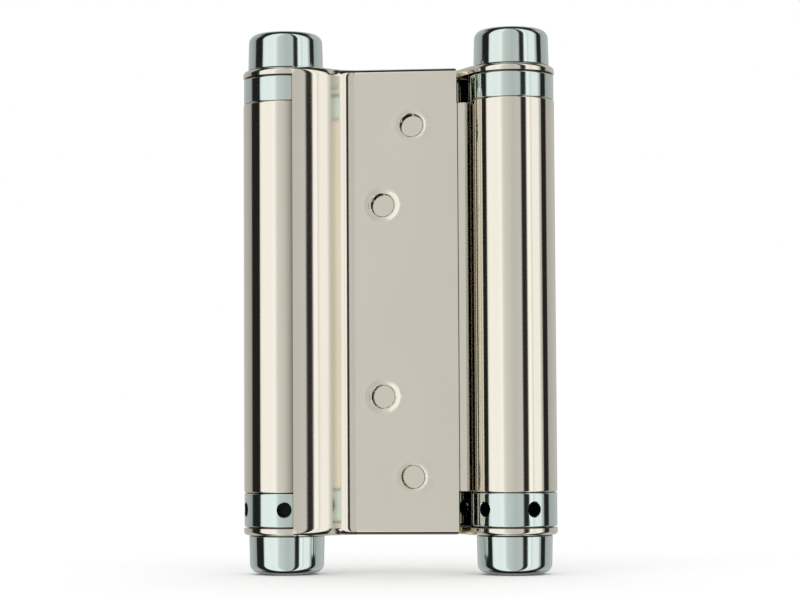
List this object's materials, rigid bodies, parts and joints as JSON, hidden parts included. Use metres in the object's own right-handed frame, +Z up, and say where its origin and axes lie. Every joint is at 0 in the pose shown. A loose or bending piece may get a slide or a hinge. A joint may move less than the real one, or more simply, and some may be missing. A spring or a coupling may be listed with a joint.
{
  "type": "double action cafe hinge",
  "caption": "Double action spring hinge for a cafe door: a web rolled into a spring barrel at each side joins pressed screw leaves, so that the door swings both ways and returns.",
  "frame": {"origin": "midway between the two barrel axes, at half height", "axes": "+Z up along the barrels, +X from the jamb leaf's barrel to the door leaf's barrel, -Y out of the face of the jamb leaf"},
  "size_m": [0.0674, 0.0214, 0.1168],
  "materials": {
    "nickel_sheet": "polished nickel plate, warm",
    "zinc_turned": "polished bright plate, cool",
    "plain_steel": "plain, unplated",
    "spring_steel": "oiled spring wire"
  },
  "bodies": {
    "jamb_side": {"jamb_leaf": "nickel_sheet", "left_spindle": "zinc_turned", "left_top_cap": "zinc_turned", "left_bottom_cap": "zinc_turned", "left_top_washer": "plain_steel", "left_bottom_washer": "plain_steel"},
    "web": {"centre_web": "nickel_sheet", "left_ferrule": "zinc_turned", "left_torsion_spring": "spring_steel", "right_ferrule": "zinc_turned", "right_torsion_spring": "spring_steel"},
    "door_side": {"door_leaf": "nickel_sheet", "right_spindle": "zinc_turned", "right_top_cap": "zinc_turned", "right_bottom_cap": "zinc_turned", "right_top_washer": "plain_steel", "right_bottom_washer": "plain_steel"},
    "left_collar": {"left_tension_collar": "zinc_turned"},
    "right_collar": {"right_tension_collar": "zinc_turned"}
  },
  "joints": [
    {"name": "jamb_swing", "type": "hinge", "parent": "jamb_side", "child": "web", "pos_m": [-0.0245, 0, 0], "axis": [0, 0, 1], "range_deg": [0, 180], "stiffness_Nm_per_rad": 0.21, "springref_deg": -143.81, "deforming": ["left_torsion_spring"]},
    {"name": "door_swing", "type": "hinge", "parent": "web", "child": "door_side", "pos_m": [0.0245, 0, 0], "axis": [0, 0, -1], "range_deg": [0, 180], "stiffness_Nm_per_rad": 0.21, "springref_deg": -143.81, "deforming": ["right_torsion_spring"]},
    {"name": "left_tension", "type": "hinge", "parent": "jamb_side", "child": "left_collar", "pos_m": [-0.0245, 0, -0.0445], "axis": [0, 0, 1], "range_deg": [0, 216], "deforming": ["left_torsion_spring"]},
    {"name": "right_tension", "type": "hinge", "parent": "door_side", "child": "right_collar", "pos_m": [0.0245, 0, -0.0445], "axis": [0, 0, -1], "range_deg": [0, 216], "deforming": ["right_torsion_spring"]}
  ]
}
